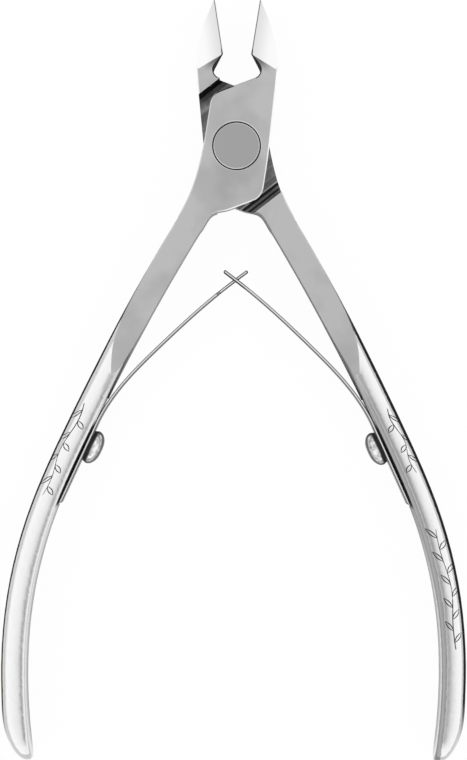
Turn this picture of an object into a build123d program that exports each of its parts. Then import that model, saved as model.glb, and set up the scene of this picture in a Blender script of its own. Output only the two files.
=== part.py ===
"""Cuticle nipper with a lap joint and two interlocking leaf springs.

Two forged levers cross at a pivot.  The front lever runs from the right jaw to the left
handle and lies on top in the joint; the rear lever is its mirror image and lies beneath.
A leaf spring is screwed to the inside of each handle.  The springs cross between the
handles, where the tongue of one passes through the window of the other, and push the
handles apart.

Frame: millimetres, the nipper lies on its back.  The origin is on the pivot axis in the
back face of the joint, +Y points to the blade tips and +Z out of the front face.  Every
piece is drawn with the blades closed, when the cutting edges lie along +Y, and is then
turned to the open rest pose.
"""

import os
from math import acos, atan2, cos, degrees, hypot, pi, radians, sin, tan

from build123d import *

os.makedirs("parts", exist_ok=True)

# --- Joint -----------------------------------------------------------------------------
joint_thickness = 7.0
half_opening = 8.7  # each lever's turn from closed to rest, degrees
lap_gap = 0.02  # between the two lap faces
joint_half_width = 4.62  # beside the pivot
lap_angle = 29.4  # of the shoulders and lap ends to the X axis, degrees
shoulder_distance = 9.03  # from the pivot to a shoulder
lap_reach = 8.1  # from the pivot to a lap end
lap_corner_radius = 2.3
edge_break = 0.16  # chamfer round the ground faces

# --- Jaws ------------------------------------------------------------------------------
edge_length = 8.0
tip_width = 0.16
jaw_belly = 2.2  # half the width of the closed jaws, 3.6 behind the tip
jaw_heel = 3.85  # half the width of the closed jaws beside the heel of the edge
jaw_root = 4.15  # half the width of the closed jaws where they leave the joint
heel = 13.12  # from the pivot to the rear end of the cutting edge
mouth_centre = 10.95  # from the pivot to the middle of the round end of the mouth
mouth_offset = 0.51  # of the round end from the centre line
edge_lead = 0.06  # of the blade's inner grinding before the heel
edge_gap = 0.01  # each cutting edge stops this far short of the centre line when closed
facet_turn = 22.6  # of the line where the front facet begins, degrees
facet_slope = 19.0
back_facet_start = 10.6  # from the pivot
back_facet_slope = 13.5
inner_relief = 12.4  # of a blade's inner face behind the cutting edge, degrees
bevel_width = 0.22
bevel_drop = 0.17

# --- Handles ---------------------------------------------------------------------------
handle_root = (-3.05, -12.5)  # of the left handle's inner edge, blades closed
handle_drop = 77.9  # from the root to the handle's end, along -Y
handle_bow = 15.4  # from the root to the outermost point of the inner edge, along -X
root_depth = 9.3  # of the forging before its faces are ground
grip_depth = 6.9
end_depth = 6.0
grind_start = 13.0  # along the handle, where the ground flat begins to narrow
grind_end = 24.8
handle_width = 3.78
crown_inset = 0.7  # from the inner edge to the handle's highest line
root_squareness = 4.4
grip_squareness = 2.8
inner_squareness = 2.6
end_round_outer = 6.0  # length over which the handle's outer side closes at its end
end_round_inner = 1.1
end_round_depth = 3.2
end_stub = 0.08
section_points = 22
blend_length = 2.2  # over which the joint's sides run into the handle

# --- Pivot -----------------------------------------------------------------------------
pivot_head_radius = 3.28
pivot_ring = 0.17  # gap round each head
pivot_head_thickness = 1.5
pivot_shank_radius = 2.0
pivot_running_clearance = 0.03
pivot_press_clearance = 0.01
pivot_thread_radius = 1.25
pivot_thread_depth = 3.4
pivot_screw_head_thickness = 1.2
pivot_sink = 0.04  # the screw's head lies this far below the back face
pivot_head_break = 0.12
bore_break = 0.12  # chamfer round the front head's recess
pivot_slot_width = 0.9
pivot_slot_depth = 0.55
thread_clearance = 0.02
axial_clearance = 0.02

# --- Leaf springs and their screws -----------------------------------------------------
leaf_thickness = 0.45
leaf_width = 5.0
leaf_tip_width = 3.4
leaf_tail = 9.0  # below the screw
leaf_seat_above = 3.2  # above the screw
leaf_crossing = 18.87  # below the pivot
leaf_crossing_angle = 37.0  # of a leaf to the X axis where they cross, degrees
leaf_tip_length = 1.95  # beyond the crossing
leaf_bow = 1.25  # of the free leaf from its chord
screw_station = 34.5  # along the handle's inner edge
seat_cut = 0.05  # depth of the milled seat at its middle
seat_side_clearance = 0.3
seat_run_above = 4.0  # of the milled seat beyond the upper end of the clamped part
seat_run_below = 0.4
window_width = 1.75
window_below = 1.7
window_above = 0.95
tongue_width = 1.35
tongue_below = 3.2
screw_head_radius = 2.46
screw_head_base = 2.25
screw_head_rim = 0.62
screw_head_height = 2.0
screw_shank_radius = 1.25
screw_reach = 2.2  # of the thread into the handle
screw_slot_width = 0.7
screw_slot_depth = 0.7
leaf_hole_clearance = 0.1
hole_floor_clearance = 0.15

mid_plane = joint_thickness / 2
tip = heel + edge_length
cutter = 60.0  # larger than any piece it cuts


def smooth_step(value, low, high):
    """0 below low and 1 above high, with a smooth rise between them."""
    share = min(1.0, max(0.0, (value - low) / (high - low)))
    return share * share * (3 - 2 * share)


def end_round(distance_to_end, length, power):
    """Share of the full size left near the handle's end; a low power closes it sooner."""
    share = max(0.0, (length - distance_to_end) / length)
    return (1 - share**power) ** 0.5


def tangent_point(circle_centre, circle_radius, start):
    """Where a line from the start, on the left, touches the right side of a circle."""
    dx, dy = start[0] - circle_centre[0], start[1] - circle_centre[1]
    heading = atan2(dy, dx) - acos(circle_radius / hypot(dx, dy))
    return (
        circle_centre[0] + circle_radius * cos(heading),
        circle_centre[1] + circle_radius * sin(heading),
    )


def on_lap_end(x, side=1):
    """Point at x on the upper lap end (side 1) or the lower one (side -1)."""
    slope = tan(radians(lap_angle))
    return (x, side * lap_reach / cos(radians(lap_angle)) + x * slope)


# --- The left handle's inner edge, with the blades closed -----------------------------
# Shares of the bow and of the drop: nearly straight at first, then turning back inwards.
inner_edge_shape = (
    (0.0, 0.0),
    (0.312, 0.158),
    (0.701, 0.391),
    (0.929, 0.563),
    (1.0, 0.7175),
    (0.929, 0.865),
    (0.763, 1.0),
)
inner_edge_points = [
    (handle_root[0] - bow * handle_bow, handle_root[1] - drop * handle_drop)
    for bow, drop in inner_edge_shape
]
with BuildLine() as inner_edge:
    Spline(*inner_edge_points)
handle_curve = inner_edge.edges()[0]
handle_length = handle_curve.length


def along_handle(distance):
    """Point, direction and outward normal at a distance along the handle's inner edge."""
    point = handle_curve.position_at(distance, position_mode=PositionMode.LENGTH)
    direction = handle_curve.tangent_at(distance, position_mode=PositionMode.LENGTH)
    return point, direction, direction.rotate(Axis.Z, -90)


def section_plane(distance):
    """Plane across the handle: local x is outward, local y is up from the mid-plane."""
    point, direction, outward = along_handle(distance)
    return Plane(origin=point + Vector(0, 0, mid_plane), x_dir=outward, z_dir=-direction)


def section_outline(distance):
    """Points of one handle section, an oval crowned near its inner side.

    Each quarter is a superellipse.  The forging is square and deep at the root, so that
    grinding its faces leaves a flat that narrows and runs out at the crown.
    """
    to_end = handle_length - distance
    thinned = smooth_step(distance, grind_start, grind_end)
    taper = smooth_step(distance, grind_end, handle_length)
    depth = root_depth + (grip_depth - root_depth) * thinned + (end_depth - grip_depth) * taper
    depth *= end_round(to_end, end_round_depth, 2.4)
    squareness = root_squareness + (grip_squareness - root_squareness) * thinned
    outer_reach = (handle_width - crown_inset) * end_round(to_end, end_round_outer, 1.6)
    inner_reach = crown_inset * end_round(to_end, end_round_inner, 2.4)
    points = []
    for k in range(section_points):
        turn = 2 * pi * (k + 0.5) / section_points
        across, up = cos(turn), sin(turn)
        power = squareness if across > 0 else max(inner_squareness, squareness)
        reach = outer_reach if across > 0 else -inner_reach
        x = crown_inset + reach * abs(across) ** (2 / power)
        y = depth / 2 * abs(up) ** (2 / power)
        points.append((x, y if up > 0 else -y))
    return points


def handle_stations():
    """Distances of the handle's sections, closer together towards the rounded end."""
    plain = handle_length - end_round_outer
    even = [plain * k / 22 for k in range(23)]
    closing = [sin(pi / 2 * k / 8) for k in range(1, 9)]
    return even + [plain + (end_round_outer - end_stub) * share for share in closing]


# --- Plan of the joint and the right jaw, blades closed -------------------------------
lap_sine, lap_cosine = sin(radians(lap_angle)), cos(radians(lap_angle))
# The round end of the mouth touches the lap end.
mouth_radius = mouth_centre * lap_cosine - mouth_offset * lap_sine - lap_reach
mouth_point = (mouth_offset, mouth_centre)
mouth_side = tangent_point(mouth_point, mouth_radius, (0, heel))
mouth_foot = on_lap_end(mouth_offset + mouth_radius * lap_sine)

root_point, root_direction, root_outward = along_handle(0)
blend_point, blend_direction, blend_outward = along_handle(blend_length)
outer_root = root_point + root_outward * (handle_width + 0.02)
inner_root = root_point - root_outward * 0.02
outer_blend = blend_point + blend_outward * (handle_width - 0.4)
inner_blend = blend_point + blend_outward * 0.4

with BuildPart() as joint_plate:
    with BuildSketch(Plane.XY) as joint_plan:
        with BuildLine():
            Line((0, tip), (tip_width, tip))
            Spline(
                (tip_width, tip),
                (jaw_belly, tip - 3.6),
                (jaw_heel, heel - 0.5),
                (jaw_root, heel - 3.4),
                tangents=((1, -1.7), (0.05, -1)),
            )
            Spline(
                (jaw_root, heel - 3.4),
                (joint_half_width, 0.0),
                (joint_half_width + 0.06, -3.0),
                tangents=((0.05, -1), (0, -1)),
            )
            lap_foot = on_lap_end(joint_half_width + 0.06, -1)
            Line((joint_half_width + 0.06, -3.0), lap_foot)
            Line(lap_foot, on_lap_end(0.4, -1))
            Spline(
                on_lap_end(0.4, -1),
                (-1.75, -10.0),
                (inner_root.X, inner_root.Y),
                (inner_blend.X, inner_blend.Y),
                tangents=((-1, -tan(radians(lap_angle))), (-0.45, -1)),
            )
            Line((inner_blend.X, inner_blend.Y), (outer_blend.X, outer_blend.Y))
            Line((outer_blend.X, outer_blend.Y), (outer_root.X, outer_root.Y))
            Spline(
                (outer_root.X, outer_root.Y),
                (-5.35, -7.1),
                (-joint_half_width - 0.06, -1.5),
                (-joint_half_width, 1.0),
                tangents=((0.4, 1), (0, 1)),
            )
            lap_head = on_lap_end(-joint_half_width)
            Line((-joint_half_width, 1.0), lap_head)
            Line(lap_head, mouth_foot)
            ThreePointArc(mouth_foot, (mouth_offset + mouth_radius, mouth_centre), mouth_side)
            Line(mouth_side, (0, heel))
            Line((0, heel), (0, tip))
        make_face()
        lap_corners = joint_plan.vertices().filter_by(
            lambda v: (Vector(v) - Vector(*lap_head)).length < 0.01
            or (Vector(v) - Vector(*lap_foot)).length < 0.01
        )
        fillet(lap_corners, lap_corner_radius)
    extrude(amount=joint_thickness)
    flat_rims = faces().filter_by(Axis.Z).edges()
    chamfer(flat_rims.filter_by(lambda e: outer_root.Y < e.center().Y < heel), edge_break)

# --- One forging, blades closed: jaw, joint and handle --------------------------------
slope, turn = radians(facet_slope), radians(facet_turn)
front_facet = Plane(
    origin=(0, heel, joint_thickness),
    x_dir=(cos(turn), -sin(turn), 0),
    z_dir=(sin(slope) * sin(turn), sin(slope) * cos(turn), cos(slope)),
)
back_slope = radians(back_facet_slope)
back_facet = Plane(
    origin=(0, back_facet_start, 0),
    x_dir=(1, 0, 0),
    z_dir=(0, -sin(back_slope), cos(back_slope)),
)

fall = tan(radians(facet_slope)) * cos(radians(facet_turn))  # of the cutting edge
edge_dip = degrees(atan2(fall, 1))
edge_start = Vector(0, heel, joint_thickness) - Vector(0, 1, -fall) * edge_lead
edge_plane = Plane(
    origin=edge_start,
    x_dir=(1, 0, 0),
    z_dir=(0, -cos(radians(edge_dip)), sin(radians(edge_dip))),
)

with BuildPart() as forging:
    for station in handle_stations():
        with BuildSketch(section_plane(station)):
            with BuildLine():
                Spline(*section_outline(station), periodic=True)
            make_face()
    loft()
    with BuildSketch(Plane.XY):
        with Locations((0, -handle_length / 2)):
            Rectangle(cutter * 2, handle_length * 2)
    extrude(amount=joint_thickness, mode=Mode.INTERSECT)
    add(joint_plate.part)
    split(bisect_by=front_facet, keep=Keep.BOTTOM)
    split(bisect_by=back_facet, keep=Keep.TOP)
    with BuildSketch(edge_plane):
        with BuildLine():
            deep = joint_thickness + 5
            high = 3.0
            Polyline(
                (edge_gap, -bevel_drop),
                (edge_gap + deep * tan(radians(inner_relief)), -bevel_drop - deep),
                (-8, -bevel_drop - deep),
                (-8, high),
                (edge_gap + bevel_width * (high + bevel_drop) / bevel_drop, high),
                close=True,
            )
        make_face()
    extrude(amount=-edge_length * 2, mode=Mode.SUBTRACT)

# --- Places of the left leaf spring and its screw, blades closed ----------------------
seat_middle = screw_station + (leaf_tail - leaf_seat_above) / 2
seat_point, seat_direction, seat_outward = along_handle(seat_middle)
seat_origin = seat_point + seat_outward * seat_cut + Vector(0, 0, mid_plane)
seat = Plane(origin=seat_origin, x_dir=seat_direction, z_dir=-seat_outward)
seat_length = leaf_tail + leaf_seat_above + seat_run_above + seat_run_below
screw_foot = seat.from_local_coords(((leaf_seat_above - leaf_tail) / 2, 0, 0))
screw_place = Plane(origin=screw_foot, x_dir=seat_direction, z_dir=-seat_outward)
screw_section = Plane(origin=screw_foot, x_dir=seat_direction, z_dir=(0, 0, 1))
screw_axis = Axis(screw_foot, -seat_outward)
screw_hole_depth = screw_reach + hole_floor_clearance

# --- Levers ---------------------------------------------------------------------------
pivot_bore_radius = pivot_shank_radius + pivot_press_clearance
running_bore_radius = pivot_shank_radius + pivot_running_clearance
head_bore_radius = pivot_head_radius + pivot_ring

with BuildPart() as front_lever_closed:
    add(forging.part)
    with BuildSketch(Plane.XY.offset(mid_plane + lap_gap / 2)):
        Rectangle(cutter, 2 * shoulder_distance, rotation=-lap_angle)
    extrude(amount=-cutter, mode=Mode.SUBTRACT)
    with BuildSketch(Plane.XY.offset(joint_thickness)):
        Circle(head_bore_radius)
    extrude(amount=-pivot_head_thickness, mode=Mode.SUBTRACT)
    with Locations((0, 0, joint_thickness - bore_break / 2)):
        Cone(head_bore_radius, head_bore_radius + bore_break, bore_break, mode=Mode.SUBTRACT)
    with BuildSketch(Plane.XY):
        Circle(pivot_bore_radius)
    extrude(amount=joint_thickness, mode=Mode.SUBTRACT)
    with BuildSketch(seat):
        with Locations(((seat_run_below - seat_run_above) / 2, 0)):
            Rectangle(seat_length, leaf_width + 2 * seat_side_clearance)
    extrude(amount=crown_inset, mode=Mode.SUBTRACT)
    with BuildSketch(screw_place):
        Circle(screw_shank_radius + thread_clearance)
    extrude(amount=-screw_hole_depth, mode=Mode.SUBTRACT)

with BuildPart() as rear_lever_closed:
    mirror(forging.part, about=Plane.YZ)
    with BuildSketch(Plane.XY.offset(mid_plane - lap_gap / 2)):
        Rectangle(cutter, 2 * shoulder_distance, rotation=lap_angle)
    extrude(amount=cutter, mode=Mode.SUBTRACT)
    with BuildSketch(Plane.XY):
        Circle(head_bore_radius)
    extrude(
        amount=pivot_screw_head_thickness + pivot_sink + axial_clearance,
        mode=Mode.SUBTRACT,
    )
    with BuildSketch(Plane.XY):
        Circle(running_bore_radius)
    extrude(amount=joint_thickness, mode=Mode.SUBTRACT)
    with BuildSketch(seat):
        with Locations(((seat_run_below - seat_run_above) / 2, 0)):
            Rectangle(seat_length, leaf_width + 2 * seat_side_clearance)
    seat_block = extrude(amount=crown_inset, mode=Mode.PRIVATE)
    mirror(seat_block, about=Plane.YZ, mode=Mode.SUBTRACT)
    with BuildSketch(screw_place):
        Circle(screw_shank_radius + thread_clearance)
    screw_bore = extrude(amount=-screw_hole_depth, mode=Mode.PRIVATE)
    mirror(screw_bore, about=Plane.YZ, mode=Mode.SUBTRACT)

with BuildPart() as front_lever:
    add(front_lever_closed.part, rotation=(0, 0, -half_opening))

with BuildPart() as rear_lever:
    add(rear_lever_closed.part, rotation=(0, 0, half_opening))

# --- Pivot ----------------------------------------------------------------------------
barrel_end = pivot_sink + pivot_screw_head_thickness

with BuildPart() as pivot_barrel:
    with BuildSketch(Plane.XY.offset(joint_thickness - pivot_head_thickness)):
        Circle(pivot_head_radius)
    extrude(amount=pivot_head_thickness)
    chamfer(faces().sort_by(Axis.Z)[-1].edges(), pivot_head_break)
    with BuildSketch(Plane.XY.offset(barrel_end)):
        Circle(pivot_shank_radius)
    extrude(amount=joint_thickness - pivot_head_thickness - barrel_end)
    with BuildSketch(Plane.XY.offset(barrel_end)):
        Circle(pivot_thread_radius + thread_clearance)
    extrude(amount=pivot_thread_depth + hole_floor_clearance, mode=Mode.SUBTRACT)

with BuildPart() as pivot_screw:
    with BuildSketch(Plane.XY.offset(pivot_sink)):
        Circle(pivot_head_radius)
    extrude(amount=pivot_screw_head_thickness)
    chamfer(faces().sort_by(Axis.Z)[0].edges(), pivot_head_break)
    with BuildSketch(Plane.XY.offset(barrel_end)):
        Circle(pivot_thread_radius)
    extrude(amount=pivot_thread_depth)
    with BuildSketch(Plane.XY.offset(pivot_sink)):
        Rectangle(3 * pivot_head_radius, pivot_slot_width, rotation=lap_angle)
    extrude(amount=pivot_slot_depth, mode=Mode.SUBTRACT)

# --- Leaf springs ---------------------------------------------------------------------
seat_top = seat.from_local_coords((-(leaf_tail + leaf_seat_above) / 2, 0, 0))
seat_foot = seat.from_local_coords(((leaf_tail + leaf_seat_above) / 2, 0, 0))
half_leaf = -seat_outward * (leaf_thickness / 2)
leaf_root = seat_top + half_leaf
leaf_foot = seat_foot + half_leaf
crossing = Vector(0, -leaf_crossing, 0).rotate(Axis.Z, half_opening)
tip_direction = Vector(1, 0, 0).rotate(Axis.Z, leaf_crossing_angle + half_opening)
leaf_point = crossing + tip_direction * leaf_tip_length
chord = crossing - Vector(leaf_root.X, leaf_root.Y, 0)
chord_side = chord.normalized().rotate(Axis.Z, 90)
leaf_middle = Vector(leaf_root.X, leaf_root.Y, 0) + chord * 0.5 + chord_side * leaf_bow
leaf_side = Plane(
    origin=crossing + Vector(0, 0, mid_plane),
    x_dir=-tip_direction,
    z_dir=tip_direction.rotate(Axis.Z, 90),
)

leaf_length = chord.length + leaf_tail + leaf_seat_above

with BuildLine() as leaf_curve:
    Spline(
        (leaf_root.X, leaf_root.Y),
        (leaf_middle.X, leaf_middle.Y),
        (crossing.X, crossing.Y),
        tangents=((-seat_direction.X, -seat_direction.Y), tip_direction),
    )
free_leaf = leaf_curve.edges()[0]


def leaf_face_line(side):
    """Points of one face of the free leaf, half its thickness from the centre line."""
    points = []
    for k in range(9):
        normal = free_leaf.tangent_at(k / 8).rotate(Axis.Z, 90)
        points.append(free_leaf.position_at(k / 8) + normal * (side * leaf_thickness / 2))
    return points


def leaf_outline(width_at_tip, past_tip):
    """Side view of a leaf that narrows towards its tip, drawn from the crossing."""
    upper = [
        (-leaf_tip_length - past_tip, width_at_tip / 2),
        (0, width_at_tip / 2),
        (chord.length, leaf_width / 2),
        (leaf_length + cutter, leaf_width / 2),
    ]
    return upper + [(x, -y) for x, y in reversed(upper)]


with BuildPart() as plain_leaf:
    with BuildSketch(Plane.XY.offset(mid_plane - leaf_width / 2)):
        with BuildLine():
            inner_face = leaf_face_line(-1)
            outer_face = leaf_face_line(1)
            lead = leaf_point - crossing
            tail = Vector(leaf_foot.X - leaf_root.X, leaf_foot.Y - leaf_root.Y)
            root_heading = free_leaf.tangent_at(0)
            Line(inner_face[0] + tail, inner_face[0])
            Spline(*inner_face, tangents=(root_heading, tip_direction))
            Line(inner_face[-1], inner_face[-1] + lead)
            round_end = leaf_point + tip_direction * (leaf_thickness / 2)
            ThreePointArc(inner_face[-1] + lead, round_end, outer_face[-1] + lead)
            Line(outer_face[-1] + lead, outer_face[-1])
            Spline(*outer_face[::-1], tangents=(-tip_direction, -root_heading))
            Polyline(outer_face[0], outer_face[0] + tail, inner_face[0] + tail)
        make_face()
    extrude(amount=leaf_width)
    with BuildSketch(leaf_side):
        with BuildLine():
            Polyline(*leaf_outline(leaf_tip_width, leaf_thickness), close=True)
        make_face()
    extrude(amount=cutter, both=True, mode=Mode.INTERSECT)
    with BuildSketch(screw_place):
        Circle(screw_shank_radius + leaf_hole_clearance)
    extrude(amount=2 * leaf_thickness, both=True, mode=Mode.SUBTRACT)

with BuildPart() as tongue_leaf:
    add(plain_leaf.part)
    for side in (1, -1):
        with BuildSketch(leaf_side):
            with Locations((0, side * (leaf_width + tongue_width) / 2)):
                Rectangle(2 * tongue_below, leaf_width)
        extrude(amount=2, both=True, mode=Mode.SUBTRACT)

with BuildPart() as window_leaf:
    add(plain_leaf.part)
    with BuildSketch(leaf_side):
        with Locations(((window_below - window_above) / 2, 0)):
            Rectangle(window_below + window_above, window_width)
    extrude(amount=2, both=True, mode=Mode.SUBTRACT)

with BuildPart() as left_leaf_spring:
    add(tongue_leaf.part, rotation=(0, 0, -half_opening))

with BuildPart() as window_leaf_right:
    mirror(window_leaf.part, about=Plane.YZ)

with BuildPart() as right_leaf_spring:
    add(window_leaf_right.part, rotation=(0, 0, half_opening))

# --- Spring screws --------------------------------------------------------------------
with BuildPart() as spring_screw:
    with BuildSketch(screw_section):
        with BuildLine():
            base = leaf_thickness
            top = leaf_thickness + screw_head_height
            Polyline((0, top), (0, -screw_reach), (screw_shank_radius, -screw_reach))
            Line((screw_shank_radius, -screw_reach), (screw_shank_radius, base))
            Line((screw_shank_radius, base), (screw_head_base, base))
            Line((screw_head_base, base), (screw_head_radius, base + screw_head_rim))
            Spline(
                (screw_head_radius, base + screw_head_rim),
                (0.72 * screw_head_radius, base + 0.82 * screw_head_height),
                (0, top),
                tangents=((-0.1, 1), (-1, 0)),
            )
        make_face()
    revolve(axis=screw_axis)
    with BuildSketch(screw_place.offset(leaf_thickness + screw_head_height)):
        Rectangle(4 * screw_head_radius, screw_slot_width)
    extrude(amount=-screw_slot_depth, mode=Mode.SUBTRACT)

with BuildPart() as left_spring_screw:
    add(spring_screw.part, rotation=(0, 0, -half_opening))

with BuildPart() as spring_screw_right:
    mirror(spring_screw.part, about=Plane.YZ)

with BuildPart() as right_spring_screw:
    add(spring_screw_right.part, rotation=(0, 0, half_opening))

front_lever.part.label = "front_lever"
rear_lever.part.label = "rear_lever"
pivot_barrel.part.label = "pivot_barrel"
pivot_screw.part.label = "pivot_screw"
left_leaf_spring.part.label = "left_leaf_spring"
right_leaf_spring.part.label = "right_leaf_spring"
left_spring_screw.part.label = "left_spring_screw"
right_spring_screw.part.label = "right_spring_screw"

export_step(front_lever.part, "parts/front_lever.step")
export_step(rear_lever.part, "parts/rear_lever.step")
export_step(pivot_barrel.part, "parts/pivot_barrel.step")
export_step(pivot_screw.part, "parts/pivot_screw.step")
export_step(left_leaf_spring.part, "parts/left_leaf_spring.step")
export_step(right_leaf_spring.part, "parts/right_leaf_spring.step")
export_step(left_spring_screw.part, "parts/left_spring_screw.step")
export_step(right_spring_screw.part, "parts/right_spring_screw.step")

flex_share = 0.33  # of the free leaf, from its root to the place where it seems to hinge
flex = free_leaf.position_at(flex_share).rotate(Axis.Z, -half_opening)
print("left leaf flex point", round(flex.X, 3), round(flex.Y, 3), round(mid_plane, 3))
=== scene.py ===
"""Looks of the cuticle nipper: ground and polished steel, leaf springs and engraving.

Everything is in metres in the frame of the design: the nipper lies on its back, +Y points
to the blade tips and +Z out of the front face.
"""

from math import cos, radians, sin

import bmesh
import bpy
import numpy as np
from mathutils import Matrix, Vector
from mathutils.bvhtree import BVHTree


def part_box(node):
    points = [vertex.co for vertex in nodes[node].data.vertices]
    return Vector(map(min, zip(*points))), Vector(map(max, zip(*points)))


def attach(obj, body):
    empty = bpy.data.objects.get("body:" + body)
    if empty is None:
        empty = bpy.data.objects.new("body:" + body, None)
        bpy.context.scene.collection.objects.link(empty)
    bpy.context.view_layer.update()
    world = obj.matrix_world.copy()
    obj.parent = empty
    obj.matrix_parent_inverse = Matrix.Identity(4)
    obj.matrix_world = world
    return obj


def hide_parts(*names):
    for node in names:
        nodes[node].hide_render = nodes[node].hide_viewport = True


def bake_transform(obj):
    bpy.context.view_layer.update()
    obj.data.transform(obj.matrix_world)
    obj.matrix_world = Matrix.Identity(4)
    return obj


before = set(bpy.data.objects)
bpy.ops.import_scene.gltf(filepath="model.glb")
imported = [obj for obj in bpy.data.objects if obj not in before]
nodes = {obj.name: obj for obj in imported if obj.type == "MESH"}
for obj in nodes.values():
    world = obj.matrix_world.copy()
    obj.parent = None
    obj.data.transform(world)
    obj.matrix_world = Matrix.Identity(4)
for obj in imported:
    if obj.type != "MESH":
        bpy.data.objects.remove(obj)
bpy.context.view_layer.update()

MM = 0.001

# --- Sizes taken from the frame ---------------------------------------------------------
lever_low, lever_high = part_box("front_lever")
thickness = lever_high.z - lever_low.z
mid_plane = (lever_high.z + lever_low.z) / 2

# --- Places that repeat the design ------------------------------------------------------
shank_end = -35 * MM  # the ground shank ends here and the polished handle starts
shoulder_offset = 9.03 * MM  # from the pivot's axis to the shoulder of the milled lap
shoulder_turn = radians(38.1)  # the shoulder's normal, from +Y
edge_turn = radians(8.7)  # the cutting edge, from +Y
facet_offset = 12.11 * MM  # from the pivot's axis to the lower border of the facet
facet_turn = radians(31.3)  # that border's normal, from +Y
recess_radius = 3.7 * MM  # of the recess round the pivot's head, with its chamfer
above_leaf_x, above_leaf_y = -0.9097, -0.415  # across the leaf's foot, for |x| and y

# Corners of the left leaf's centre line in mm, and its heading and length past the crossing.
leaf_foot, leaf_root = np.array([-24.728, -50.576]), np.array([-19.661, -39.478])
leaf_middle, leaf_crossing = np.array([-10.735, -28.311]), np.array([0.0, -18.87])
tip_heading, tip_length = np.array([0.799, 0.602]), 2.16

# Half widths of the leaves, and places along their line from the foot or the crossing.
foot_half_width, tip_half_width, tongue_half_width = 2.5 * MM, 1.7 * MM, 0.675 * MM
taper_from_foot, screw_from_foot = 12.2 * MM, 9.0 * MM
tongue_from_crossing, tongue_shoulder = -3.6 * MM, 0.9 * MM
window_start, window_end, window_half_width = -1.7 * MM, 0.95 * MM, 0.875 * MM
hole_radius = 1.35 * MM
leaf_thickness, leaf_rounding = 0.45 * MM, 0.2 * MM

# --- Sizes and tones of the looks -------------------------------------------------------
groove_height = 0.012 * MM
handle_width = 3.78  # mm, across which the sprigs are drawn
polished = (0.8, 0.8, 0.81)
black = 0.01


# --- Shader building --------------------------------------------------------------------
class Nodes:
    """Short calls that add and link the nodes of one tree."""

    def __init__(self, tree):
        self.tree = tree
        tree.nodes.clear()

    def add(self, kind, **settings):
        node = self.tree.nodes.new(kind)
        for key, value in settings.items():
            setattr(node, key, value)
        return node

    def link(self, source, target):
        self.tree.links.new(source, target)

    def put(self, value, socket):
        """Link an output, or set a plain value, on an input."""
        if isinstance(value, bpy.types.NodeSocket):
            self.link(value, socket)
        else:
            socket.default_value = value

    def split(self, vector):
        """The three parts of a vector."""
        node = self.add("ShaderNodeSeparateXYZ")
        self.link(vector, node.inputs[0])
        return node.outputs

    def math(self, operation, a, b=0.0, c=0.0):
        node = self.add("ShaderNodeMath", operation=operation)
        for value, socket in zip((a, b, c), node.inputs):
            self.put(value, socket)
        return node.outputs[0]

    def both(self, share, *others):
        """The product of shares: 1 only where all of them are 1."""
        for other in others:
            share = self.math("MULTIPLY", share, other)
        return share

    def step(self, value, low, high):
        """0 below low and 1 above high, smooth between; falls where low is above high."""
        node = self.add("ShaderNodeMapRange", interpolation_type="SMOOTHSTEP")
        self.put(value, node.inputs["Value"])
        self.put(low, node.inputs["From Min"])
        self.put(high, node.inputs["From Max"])
        return node.outputs[0]

    def ramp(self, value, tones):
        """Greys given as (place, tone), looked up by a value from 0 to 1."""
        node = self.add("ShaderNodeValToRGB")
        elements = node.color_ramp.elements
        while len(elements) < len(tones):
            elements.new(0.5)
        for element, (place_at, tone) in zip(elements, tones):
            element.position = place_at
            element.color = (tone, tone, tone, 1)
        self.link(value, node.inputs[0])
        return node.outputs[0]

    def mix(self, share, a, b):
        """Number or colour: a where share is 0, b where it is 1."""
        colour = isinstance(a, tuple) or isinstance(b, tuple)
        node = self.add("ShaderNodeMix", data_type="RGBA" if colour else "FLOAT")
        slots = [s for s in node.inputs if s.enabled]
        if colour:
            slots = [node.inputs["Factor"]] + [s for s in node.inputs if s.type == "RGBA"]
        self.put(share, slots[0])
        for value, socket in zip((a, b), slots[1:3]):
            self.put((*value, 1) if isinstance(value, tuple) else value, socket)
        return [s for s in node.outputs if s.type == ("RGBA" if colour else "VALUE")][0]


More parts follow.
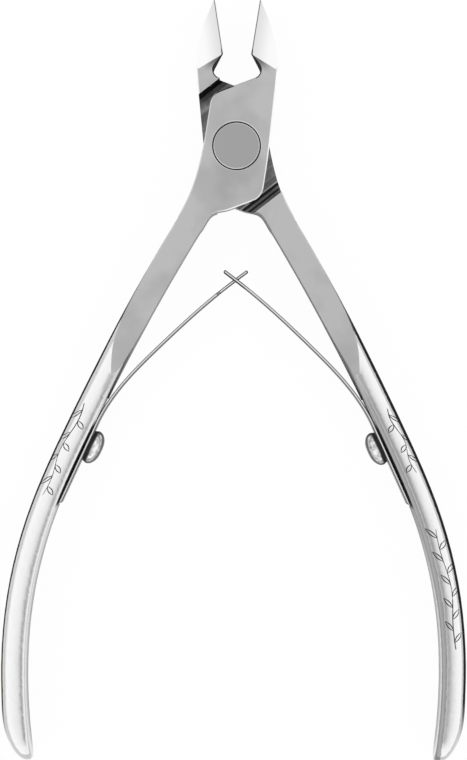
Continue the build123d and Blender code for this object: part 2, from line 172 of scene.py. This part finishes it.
class Steel(Nodes):
    """One metal material, with the places and the directions of its faces."""

    def __init__(self, name, color, roughness):
        self.material = bpy.data.materials.new(name)
        self.material.use_nodes = True
        super().__init__(self.material.node_tree)
        self.shader = self.add("ShaderNodeBsdfPrincipled")
        self.shader.inputs["Metallic"].default_value = 1.0
        self.shader.inputs["Base Color"].default_value = (*color, 1)
        self.shader.inputs["Roughness"].default_value = roughness
        output = self.add("ShaderNodeOutputMaterial")
        self.link(self.shader.outputs[0], output.inputs["Surface"])
        self.place = self.add("ShaderNodeTexCoord").outputs["Object"]
        self.x, self.y, self.z = self.split(self.place)
        facing = self.add("ShaderNodeNewGeometry").outputs["Normal"]
        self.facing_x, self.facing_y, self.up = self.split(facing)
        self.level = self.math("ABSOLUTE", self.up)

    def along(self, x_share, y_share):
        """Distance along a level direction through the origin."""
        scaled = self.math("MULTIPLY", self.y, y_share)
        return self.math("MULTIPLY_ADD", self.x, x_share, scaled)

    def noise(self, scale, detail=4.0, turn=0.0, stretch=(1, 1, 1), roughness=0.5):
        """Noise whose waves per mm are stretch, along X turned about Z, and across it."""
        mapping = self.add("ShaderNodeMapping", vector_type="TEXTURE")
        self.link(self.place, mapping.inputs["Vector"])
        mapping.inputs["Rotation"].default_value = (0, 0, turn)
        mapping.inputs["Scale"].default_value = [MM / s for s in stretch]
        node = self.add("ShaderNodeTexNoise")
        self.link(mapping.outputs[0], node.inputs["Vector"])
        node.inputs["Scale"].default_value = scale
        node.inputs["Detail"].default_value = detail
        node.inputs["Roughness"].default_value = roughness
        return node.outputs["Fac"]

    def bump(self, height, strength, depth):
        """Relief of the given depth in metres."""
        node = self.add("ShaderNodeBump")
        self.put(height, node.inputs["Height"])
        node.inputs["Strength"].default_value = strength
        node.inputs["Distance"].default_value = depth
        self.link(node.outputs[0], self.shader.inputs["Normal"])

    def set(self, socket, value):
        self.put(value, self.shader.inputs[socket])


def grey(tone):
    """The colour of steel at one brightness."""
    return (tone, tone, 1.01 * tone)


def lap_light_and_shade_bands(s, across, from_shoulder):
    """Tones of the milled lap in bands along its shoulder, near the foot and near the jaw:
    painted shadow in black bands and painted highlight in thin light lines.
    """
    depth = s.math("DIVIDE", from_shoulder, 3 * MM)
    foot_bands = s.ramp(depth, [
        (0.0, 0.75), (0.03, 0.7), (0.05, 0.15), (0.16, 0.18), (0.2, 0.02), (0.25, 0.02),
        (0.3, 0.17), (0.37, 0.2), (0.4, 0.02), (0.51, 0.03), (0.55, 0.8), (0.6, 0.27),
        (1.0, 0.3),
    ])
    head_bands = s.ramp(depth, [
        (0.0, 0.01), (0.15, 0.01), (0.19, 0.2), (0.22, 0.04), (0.27, 0.22), (0.31, 0.06),
        (0.38, 0.25), (0.6, 0.3), (0.72, 0.55), (0.82, 0.2), (1.0, 0.25),
    ])
    return s.mix(s.step(across, -1 * MM, 1 * MM), foot_bands, head_bands)


def lever_steel(name, side):
    """Forged lever: satin ground faces, milled lap, polished handle and bright facet.

    side is 1 for the lever whose jaw is on the right and -1 for the other.  Every zone is a
    share from 0 to 1, the product of smooth steps over the place and the face's direction.
    """
    s = Steel(name, polished, 0.15)
    right = side > 0
    inward = s.math("MULTIPLY", s.facing_x, side)
    height = s.math("ABSOLUTE", s.math("SUBTRACT", s.z, mid_plane))

    # The ground front and back, the milled lap between them, and the pivot's recess, painted
    # black as shade.
    near_face = s.step(height, 0.6 * mid_plane, 0.9 * mid_plane)
    shank = s.step(s.y, shank_end, shank_end + 1 * MM)
    ground = s.both(s.step(s.level, 0.985, 0.998), shank, near_face)
    milled = s.both(s.math("SUBTRACT", 1.0, near_face), s.step(s.level, 0.95, 0.99))
    y_squared = s.math("MULTIPLY", s.y, s.y)
    from_axis = s.math("SQRT", s.math("MULTIPLY_ADD", s.x, s.x, y_squared))
    sunk = s.step(height, mid_plane - 0.1 * MM, mid_plane - 0.2 * MM)
    bore_shade = s.both(s.step(from_axis, recess_radius, recess_radius - 0.1 * MM), sunk)

    # Painted shade: black in the gap above the leaf, a darker inside of the handle, black in
    # the mouth and darker walls in the crotch.
    seat_shadow = s.both(
        s.step(s.y, -38.5 * MM, -40 * MM),
        s.step(s.y, -51.5 * MM, -50.5 * MM),
        s.step(inward, 0.7, 0.82),
    )
    # Painted shade on the inner side of the handle, much stronger on the rear lever.
    inner_side_shade = s.both(
        s.step(inward, 0.02, 0.08),
        s.step(inward, 0.97, 0.93),
        s.step(s.y, -30 * MM, -37 * MM),
        0.06 if right else 0.6,
    )
    # Painted shade: the walls of the mouth between the jaws are near black.
    mouth_shade = s.both(
        s.step(inward, -0.15, -0.4),
        s.step(s.level, 0.86, 0.76),
        s.step(s.y, 8.3 * MM, 8.8 * MM),
        s.step(s.y, 14.0 * MM, 13.2 * MM),
    )
    # Painted shade on the inner walls between the handles below the joint, darker on the rear
    # lever.
    crotch_shade = s.both(
        s.step(s.math("MULTIPLY", s.x, side), -0.6 * MM, -2.6 * MM),
        s.step(s.y, -8.5 * MM, -9.5 * MM),
        s.step(s.y, -40 * MM, -30 * MM),
        s.step(inward, 0.05, 0.2),
    )

    # Distances from the shoulder, outwards from the cutting edge and from the facet.
    lean = side * shoulder_turn
    across = s.along(sin(lean), cos(lean))
    from_shoulder = s.math("SUBTRACT", shoulder_offset, s.math("ABSOLUTE", across))
    from_edge = s.along(side * cos(edge_turn), -sin(edge_turn))
    up_facet = s.along(side * sin(facet_turn), cos(facet_turn))
    from_facet = s.math("SUBTRACT", facet_offset, up_facet)
    facet = s.both(s.step(s.y, 9.0 * MM, 9.3 * MM), s.math("SUBTRACT", 1.0, ground))
    # Painted shade: a dark line along the bevel of the cutting edge.
    bevel_shade = s.both(
        s.step(s.y, 12.8 * MM, 13.4 * MM), s.step(from_edge, 0.2 * MM, 0.12 * MM)
    )
    throat = s.both(
        s.step(from_facet, 1.3 * MM, 0.2 * MM), s.step(from_edge, 3.4 * MM, 1.2 * MM)
    )

    cloud = s.noise(0.1, 3.0, roughness=0.6)
    grain = s.noise(1.0, 6.0, stretch=(14, 0.5, 1))
    mill = s.noise(1.0, 5.0, turn=-lean, stretch=(0.25, 3.2, 1), roughness=0.6)
    blotch = s.noise(0.5, 3.0)
    polish = s.noise(1.0, 6.0, stretch=(3, 0.8, 3))

    away = s.step(s.math("ABSOLUTE", s.x), 1.5 * MM, 5.5 * MM)
    lightness = s.math("MULTIPLY_ADD", away, 0.35, s.step(cloud, 0.3, 0.7))
    ground_tone = s.mix(lightness, (0.51, 0.51, 0.515), (0.67, 0.67, 0.675))
    ground_tone = s.mix(throat, ground_tone, (0.22, 0.22, 0.225))
    streaks = s.both(s.step(mill, 0.34, 0.62), s.step(blotch, 0.25, 0.6))
    streaks = s.math("MULTIPLY_ADD", streaks, 0.55, 0.45)
    # The lap is painted dark, partly as shade of the recess, with painted light and dark
    # bands; the streaks are milling marks.
    milled_tone = s.mix(streaks, grey(black), lap_light_and_shade_bands(s, across, from_shoulder))
    # Painted light: the facet grows lighter away from the cutting edge.
    rise = s.step(from_edge, 0.1 * MM, 2.8 * MM)
    facet_tone = s.mix(rise, (0.76, 0.76, 0.765), (0.95, 0.95, 0.955))
    tone = s.mix(polish, (0.84, 0.84, 0.85), (0.92, 0.92, 0.93))
    # Most of these zones put painted shade or painted light into the tone.
    for zone, zone_tone in (
        (facet, facet_tone),
        (bevel_shade, (0.22, 0.22, 0.225)),
        (inner_side_shade, grey(0.06)),
        (crotch_shade, grey(0.66 if right else 0.4)),
        (mouth_shade, grey(0.03)),
        (seat_shadow, grey(black)),
        (ground, ground_tone),
        (milled, milled_tone),
        (bore_shade, (black, black, black)),
    ):
        tone = s.mix(zone, tone, zone_tone)
    s.set("Base Color", tone)

    dark = s.math("MAXIMUM", seat_shadow, s.math("MAXIMUM", mouth_shade, bore_shade))
    rough = s.math("MULTIPLY_ADD", polish, 0.05, 0.08)
    for zone, zone_rough in (
        (ground, 0.34), (crotch_shade, 0.34 if right else 0.6), (dark, 0.65), (milled, 0.45)
    ):
        rough = s.mix(zone, rough, zone_rough)
    s.set("Roughness", rough)
    relief = s.mix(ground, s.math("MULTIPLY", polish, 0.12), grain)
    s.bump(s.mix(milled, relief, mill), 0.25, 0.01 * MM)
    return s.material


def pivot_steel(name):
    """Turned steel: a fine, low grain, a painted highlight on the rim and painted shade on the
    sloping sides and upright faces.
    """
    s = Steel(name, grey(0.47), 0.25)
    grain = s.noise(1.0, 5.0, stretch=(6, 6, 6))
    # Painted shade on the sloping sides, and below on the upright faces; a painted highlight
    # on the rim.
    side_face_shade = s.step(s.level, 0.5, 0.3)
    tone = s.mix(grain, grey(0.47), grey(0.51))
    tone = s.mix(s.step(s.level, 0.98, 0.85), tone, grey(0.95))
    tone = s.mix(side_face_shade, tone, grey(0.02))
    s.set("Base Color", s.mix(s.step(s.level, 0.2, 0.1), tone, grey(0.02)))
    rough = s.mix(s.step(s.level, 0.97, 0.995), 0.14, 0.3)
    rough = s.math("MULTIPLY_ADD", grain, 0.06, rough)
    s.set("Roughness", s.mix(side_face_shade, rough, 0.6))
    s.bump(grain, 0.2, 0.005 * MM)
    return s.material


def leaf_steel(name, side):
    """Bright strip with painted shade: the rounded edges are painted dark, most of all at the
    tips.
    """
    s = Steel(name, polished, 0.25)
    grain = s.noise(1.0, 5.0, stretch=(6, 6, 6))
    forwards = s.math("MULTIPLY", s.facing_y, 0.8)
    beside = s.math("MULTIPLY_ADD", s.facing_x, -0.6 * side, forwards)
    rounded = s.step(s.math("ABSOLUTE", beside), 0.2, 0.5)
    # Painted shade: the tip is darkened from here to the crossing.
    tip = s.step(s.y, -20.4 * MM, -19.4 * MM)
    end = s.both(s.step(s.y, -18.2 * MM, -17.9 * MM), s.step(s.level, 0.97, 0.85))
    free = s.step(s.y, -38 * MM, -34 * MM)
    # Painted shade on the rounded edges: one edge darker than the other, the lighter one
    # darker where the leaf is clamped, both near black at the tip.
    upper = s.mix(free, 0.1, s.mix(tip, 0.32, 0.015))
    edge = s.mix(s.step(beside, -0.1, 0.1), s.mix(tip, 0.08, 0.01), upper)
    tone = s.mix(s.math("MAXIMUM", rounded, end), s.mix(grain, 0.8, 0.92), edge)
    # Painted shade: the upright sides are mid grey, dark at the tip.
    tone = s.mix(s.step(s.level, 0.16, 0.1), tone, s.mix(tip, 0.5, 0.1))
    s.set("Base Color", s.ramp(tone, [(0, 0), (1, 1)]))
    s.set("Roughness", s.mix(rounded, 0.25, 0.6))
    s.bump(grain, 0.2, 0.005 * MM)
    return s.material


def screw_steel(name):
    """A domed head with a painted dark outline on its steep sides and a painted shadow on its
    underside towards the leaf.
    """
    s = Steel(name, polished, 0.25)
    grain = s.noise(1.0, 5.0, stretch=(1.5, 1.5, 1.5))
    upwards = s.math("MULTIPLY", s.y, above_leaf_y)
    above_leaf = s.math("MULTIPLY_ADD", s.math("ABSOLUTE", s.x), above_leaf_x, upwards)
    underside_shadow = s.step(above_leaf, -0.55 * MM, -0.85 * MM)
    tone = s.mix(s.step(grain, 0.3, 0.7), grey(0.42), grey(0.95))
    # Painted shade: the steep sides of the dome are near black.
    tone = s.mix(s.step(s.level, 0.55, 0.35), tone, grey(0.03))
    s.set("Base Color", s.mix(underside_shadow, tone, grey(0.05)))
    s.set("Roughness", s.mix(underside_shadow, s.math("MULTIPLY_ADD", grain, 0.06, 0.14), 0.6))
    s.bump(grain, 0.25, 0.006 * MM)
    return s.material


pivot_material = pivot_steel("pivot_steel")
screw_material = screw_steel("screw_steel")
leaf_materials = {
    1: leaf_steel("left_spring_steel", 1),
    -1: leaf_steel("right_spring_steel", -1),
}
for node_name, material in {
    "front_lever": lever_steel("front_lever_steel", 1),
    "rear_lever": lever_steel("rear_lever_steel", -1),
    "pivot_barrel": pivot_material,
    "pivot_screw": pivot_material,
    "left_leaf_spring": leaf_materials[1],
    "right_leaf_spring": leaf_materials[-1],
    "left_spring_screw": screw_material,
    "right_spring_screw": screw_material,
}.items():
    nodes[node_name].data.materials.clear()
    nodes[node_name].data.materials.append(material)


# --- Meshes -----------------------------------------------------------------------------
def new_piece(name, vertices, faces):
    """An object with its place in its mesh."""
    mesh = bpy.data.meshes.new(name)
    mesh.from_pydata(vertices, [], faces)
    piece = bpy.data.objects.new(name, mesh)
    bpy.context.scene.collection.objects.link(piece)
    return piece


def final_mesh(piece):
    """Turn the piece's modifiers into its mesh, smooth but for sharp edges, facing out."""
    depsgraph = bpy.context.evaluated_depsgraph_get()
    mesh = bpy.data.meshes.new_from_object(piece.evaluated_get(depsgraph))
    piece.modifiers.clear()
    piece.data = mesh
    shape = bmesh.new()
    shape.from_mesh(mesh)
    bmesh.ops.recalc_face_normals(shape, faces=shape.faces)
    shape.to_mesh(mesh)
    shape.free()
    mesh.shade_smooth()
    mesh.set_sharp_from_angle(angle=radians(40))


# --- Leaf springs -----------------------------------------------------------------------
def straight_run(start, heading, length, spacing):
    """Points at equal steps from start: start + heading times the distance."""
    return start + heading * np.arange(0, length, spacing)[:, None]


def curved_run(start, end, leave, arrive, spacing):
    """Points on the cubic from start to end that leaves and arrives along two headings.

    It is the sum of both ends and both headings times the distance between the ends, each
    with its own cubic weight of u, which runs from 0 to 1.
    """
    length = np.linalg.norm(end - start)
    u = np.arange(0, 1, spacing / length)[:, None]
    ends = (2 * u**3 - 3 * u**2 + 1) * start + (3 * u**2 - 2 * u**3) * end
    return ends + length * ((u**3 - 2 * u**2 + u) * leave + (u**3 - u**2) * arrive)


def leaf_centre_line(spacing):
    """Points along the left leaf, from its foot to its tip, and the lengths along them.

    The leaf is straight from its foot to its root, a cubic spline from the root through
    its middle to the crossing, and straight from there to the tip.
    """
    clamped = np.linalg.norm(leaf_root - leaf_foot)
    first = np.linalg.norm(leaf_middle - leaf_root)
    second = np.linalg.norm(leaf_crossing - leaf_middle)
    heading = (leaf_root - leaf_foot) / clamped
    pull = (leaf_middle - leaf_root) / first**2 + (leaf_crossing - leaf_middle) / second**2
    bend = 3 * pull - heading / first - tip_heading / second
    slope = bend / (2 / first + 2 / second)
    points = MM * np.concatenate([
        straight_run(leaf_foot, heading, clamped, spacing),
        curved_run(leaf_root, leaf_middle, heading, slope, spacing),
        curved_run(leaf_middle, leaf_crossing, slope, tip_heading, spacing),
        straight_run(leaf_crossing, tip_heading, tip_length, spacing),
    ])
    lengths = np.concatenate([[0], np.cumsum(np.linalg.norm(np.diff(points, axis=0), axis=1))])
    crossing_at = lengths[-1] - np.linalg.norm(points[-1] - leaf_crossing * MM)
    return points, lengths, crossing_at


def leaf_spring(name, cad_node, side, has_tongue):
    """A strip swept along the leaf's centre line, with a tongue or a window near its tip.

    A point is (line(s), mid_plane + v), where s is the length along the line and v runs
    over columns: the strip's own edges, the edges of the window or of the screw hole, and
    the lines between.  The tongue's shoulder is a smooth step, 3u^2 - 2u^3.
    """
    points, lengths, crossing_at = leaf_centre_line(0.14)
    from_crossing = lengths - crossing_at
    tapers = [taper_from_foot, crossing_at], [foot_half_width, tip_half_width]
    half = np.interp(lengths, *tapers)
    slit = np.where(from_crossing > -5 * MM, window_half_width, hole_radius)
    if has_tongue:
        u = np.clip((from_crossing - tongue_from_crossing) / tongue_shoulder, 0, 1)
        half += (tongue_half_width - half) * u**2 * (3 - 2 * u)
        slit = np.minimum(slit, 0.6 * half)
    between = (half + slit) / 2
    columns = np.stack([-half, -between, -slit, 0 * slit, slit, between, half], axis=1)
    vertices = np.empty((*columns.shape, 3))
    vertices[..., 0] = side * points[:, :1]
    vertices[..., 1] = points[:, 1:]
    vertices[..., 2] = mid_plane + columns

    corner = np.arange(columns.size).reshape(columns.shape)
    quads = np.stack(
        [corner[:-1, :-1], corner[:-1, 1:], corner[1:, 1:], corner[1:, :-1]], axis=-1
    )
    centres = (lengths[:-1] + lengths[1:]) / 2
    is_open = np.abs(centres - screw_from_foot) < hole_radius
    if not has_tongue:
        past = centres - crossing_at
        is_open |= (past > window_start) & (past < window_end)
    solid = np.ones(quads.shape[:2], dtype=bool)
    solid[is_open, 2:4] = False
    leaf = new_piece(name, vertices.reshape(-1, 3).tolist(), quads[solid].tolist())

    thick = leaf.modifiers.new("thickness", "SOLIDIFY")
    thick.thickness, thick.offset, thick.use_even_offset = leaf_thickness, 0, True
    round_edges = leaf.modifiers.new("edges", "BEVEL")
    round_edges.width, round_edges.segments = leaf_rounding, 4
    round_edges.use_clamp_overlap = False
    round_edges.limit_method, round_edges.angle_limit = "ANGLE", radians(50)
    final_mesh(leaf)
    leaf.data.materials.append(leaf_materials[side])
    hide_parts(cad_node)
    return leaf


left_leaf = leaf_spring("left_leaf_strip", "left_leaf_spring", 1, True)
right_leaf = leaf_spring("right_leaf_strip", "right_leaf_spring", -1, False)
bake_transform(left_leaf)
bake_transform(right_leaf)


# --- Engraved sprigs --------------------------------------------------------------------
def handle_edges(node):
    """Polynomials x(y) of the smaller and the larger |x| side of one lever's handle."""
    points = np.array([v.co for v in nodes[node].data.vertices])
    points = points[points[:, 1] < -34 * MM]
    places = np.arange(-80, -36, 1.5) * MM
    near, far = [], []
    for y in places:
        reach = np.abs(points[np.abs(points[:, 1] - y) < 2 * MM, 0])
        near.append(reach.min())
        far.append(reach.max())
    return np.polyfit(places, near, 5), np.polyfit(places, far, 5)


def groove(centres, ups, widths):
    """A flat diamond carried along centres: its four corners lie beside, above and below.

    Beside is the cross product of the surface's normal and the heading, the difference of
    the neighbouring centres.
    """
    ahead = np.concatenate([centres[1:], centres[-1:]])
    behind = np.concatenate([centres[:1], centres[:-1]])
    aside = np.cross(ups, ahead - behind)
    aside *= widths[:, None] / 2 / np.linalg.norm(aside, axis=1, keepdims=True)
    lift = ups * groove_height
    ring = [centres + aside, centres + lift, centres - aside, centres - lift]
    corner = np.arange(4 * len(centres)).reshape(-1, 4)
    turned = np.roll(corner, -1, axis=1)
    walls = np.stack([corner[:-1], turned[:-1], turned[1:], corner[1:]], axis=-1)
    faces = np.concatenate([walls.reshape(-1, 4), corner[:1, ::-1], corner[-1:]])
    return np.stack(ring, axis=1).reshape(-1, 3), faces


def engraving(name, node, body, side, strokes):
    """Fine grooves filled with black, pressed into the top of one handle.

    A stroke has rows of (along, across, width): along in mm down the handle, across from
    0 at the outer side to 1 at the inner side, and the width in mm.  It lies on the
    handle's surface, found by looking straight down.
    """
    inner, outer = handle_edges(node)
    corners = [v.co for v in nodes[node].data.vertices]
    surface = BVHTree.FromPolygons(corners, [p.vertices for p in nodes[node].data.polygons])
    vertices, faces, count = [], [], 0
    for along, across, width in (stroke.T for stroke in strokes):
        y = -along * MM
        x_in, x_out = np.polyval(inner, y), np.polyval(outer, y)
        x = side * (x_out + (x_in - x_out) * across)
        hits = [surface.ray_cast(Vector((*at, 1.0)), Vector((0, 0, -1))) for at in zip(x, y)]
        on_top = [hit is not None and normal.z > 0.25 for hit, normal, _, _ in hits]
        if sum(on_top) < 3:
            continue
        landed = [hit[:2] for hit, is_top in zip(hits, on_top) if is_top]
        centres, ups = (np.array([tuple(v) for v in vectors]) for vectors in zip(*landed))
        new_vertices, new_faces = groove(centres, ups, width[on_top] * MM)
        vertices += new_vertices.tolist()
        faces += (new_faces + count).tolist()
        count = len(vertices)
    grooves = new_piece(name, vertices, faces)
    final_mesh(grooves)
    grooves.data.materials.append(groove_material)
    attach(grooves, body)
    return grooves


def sprig(start, end, across, leaf_length, count):
    """A gently waving stem with narrow leaves on both sides, each drawn by two arcs.

    Lengths are in mm along the handle; across is a share of its width.  The stem is a
    sine of one and a half waves, and an arc is a straight line plus half a sine aside.
    """
    way_along = np.sign(end - start)

    def stem(share):
        wave = 0.2 * np.sin(2 * np.pi * 1.5 * share)
        return start + (end - start) * share, across * handle_width + wave

    def stroke(along, out, width):
        return np.stack([along, out / handle_width, width], axis=1)

    u = np.linspace(0, 1, 40)
    strokes = [stroke(*stem(u), 0.17 - 0.07 * u)]
    u = np.linspace(0, 1, 14)
    arch = np.sin(np.pi * u)
    for k in range(count):
        foot = np.array(stem((k + 0.6) / (count + 0.4)))
        reach = np.array([way_along * 0.82, 0.57 if k % 2 else -0.57]) * leaf_length
        beside = np.array([-reach[1], reach[0]])
        for bulge in (0.13, -0.13):
            line = foot[:, None] + reach[:, None] * u + beside[:, None] * bulge * arch
            strokes.append(stroke(*line, 0.08 + 0.09 * arch))
    return strokes


groove_material = Steel("groove_black", grey(0.06), 0.5).material
engraving(
    "left_engraving", "front_lever", "front_half", -1, sprig(36.5, 49.5, 0.36, 1.5, 8)
)
engraving(
    "right_engraving", "rear_lever", "rear_half", 1,
    sprig(37.0, 46.0, 0.36, 1.4, 6) + sprig(71.0, 54.0, 0.4, 1.7, 10),
)


# --- Floor, light and camera ------------------------------------------------------------
def flag_share(t):
    """1 on two dark strips of the floor, each along the outside of one handle."""
    outer = handle_edges("front_lever")[1]
    heights = np.linspace(-80, -28, 27) * MM
    square, linear, constant = np.polyfit(heights, np.polyval(outer, heights), 2).tolist()
    x, y, _ = t.split(t.add("ShaderNodeTexCoord").outputs["Object"])
    edge = t.math("MULTIPLY_ADD", y, t.math("MULTIPLY_ADD", y, square, linear), constant)
    beyond = t.math("SUBTRACT", t.math("ABSOLUTE", x), edge)
    width = t.math("MULTIPLY_ADD", t.math("SIGN", x), 3.5 * MM, 9.5 * MM)
    return t.both(
        t.step(y, -14 * MM, -24 * MM),
        t.step(y, -88 * MM, -79 * MM),
        t.step(beyond, -0.6 * MM, 0.0),
        t.step(t.math("SUBTRACT", beyond, width), 2 * MM, -2 * MM),
    )


def make_floor():
    """A white square just below the nipper, seen white by the camera, with a faint painted
    shade close to the nipper.

    In mirrored rays its glow is painted as shade close to the nipper, a bright band further
    out and grey beyond, and it is dark in two strips outside the handles.
    """
    half, level = 1.5, -0.02 * MM
    corners = [(-half, -half), (half, -half), (half, half), (-half, half)]
    floor = new_piece("floor", [(x, y, level) for x, y in corners], [(0, 1, 2, 3)])
    material = bpy.data.materials.new("floor_white")
    material.use_nodes = True
    t = Nodes(material.node_tree)
    nearness = t.add("ShaderNodeAmbientOcclusion", samples=12)
    nearness.inputs["Distance"].default_value = 20 * MM
    open_share = nearness.outputs["AO"]
    seen = t.add("ShaderNodeMapRange")
    seen.inputs["To Min"].default_value = 0.97
    t.link(open_share, seen.inputs["Value"])
    # Painted shade and light for mirrored rays, by how open the floor is above.
    mirrored = t.ramp(
        open_share, [(0.0, 0.3), (0.6, 0.4), (0.72, 0.85), (0.88, 0.95), (0.95, 0.66)]
    )
    mirrored = t.mix(flag_share(t), mirrored, 0.02)
    by_camera = t.add("ShaderNodeLightPath").outputs["Is Camera Ray"]
    glow = t.add("ShaderNodeEmission")
    t.link(t.mix(by_camera, mirrored, seen.outputs[0]), glow.inputs["Strength"])
    output = t.add("ShaderNodeOutputMaterial")
    t.link(glow.outputs[0], output.inputs["Surface"])
    floor.data.materials.append(material)


def make_light():
    """A white tent, greyer above and a little to the right, where it is open."""
    world = bpy.data.worlds.new("tent")
    bpy.context.scene.world = world
    world.use_nodes = True
    t = Nodes(world.node_tree)
    opening = radians(9)
    height = t.add("ShaderNodeVectorMath", operation="DOT_PRODUCT")
    height.inputs[1].default_value = (sin(opening), 0, cos(opening))
    t.link(t.add("ShaderNodeTexCoord").outputs["Generated"], height.inputs[0])
    tones = t.ramp(height.outputs["Value"], [
        (0.0, 0.95), (0.1, 1.05), (0.2, 1.08), (0.8, 1.0), (0.94, 0.86), (0.985, 0.6),
        (1.0, 0.36),
    ])
    background = t.add("ShaderNodeBackground")
    background.inputs[1].default_value = 1.0
    t.link(tones, background.inputs[0])
    t.link(background.outputs[0], t.add("ShaderNodeOutputWorld").inputs[0])


def make_camera():
    """Straight above, framed on the whole nipper."""
    frame_height = 107.8 * MM
    distance = 450 * MM
    sensor_height = 24
    data = bpy.data.cameras.new("camera")
    camera = bpy.data.objects.new("camera", data)
    bpy.context.scene.collection.objects.link(camera)
    data.sensor_fit = "VERTICAL"
    data.sensor_height = sensor_height
    data.lens = sensor_height * distance / frame_height
    data.clip_start = 0.01
    camera.location = (-0.24 * MM, -33.08 * MM, distance + 0.7 * thickness)
    camera.rotation_euler = (0, 0, radians(0.33))
    bpy.context.scene.camera = camera


make_floor()
make_light()
make_camera()
bpy.context.scene.view_settings.view_transform = "Standard"
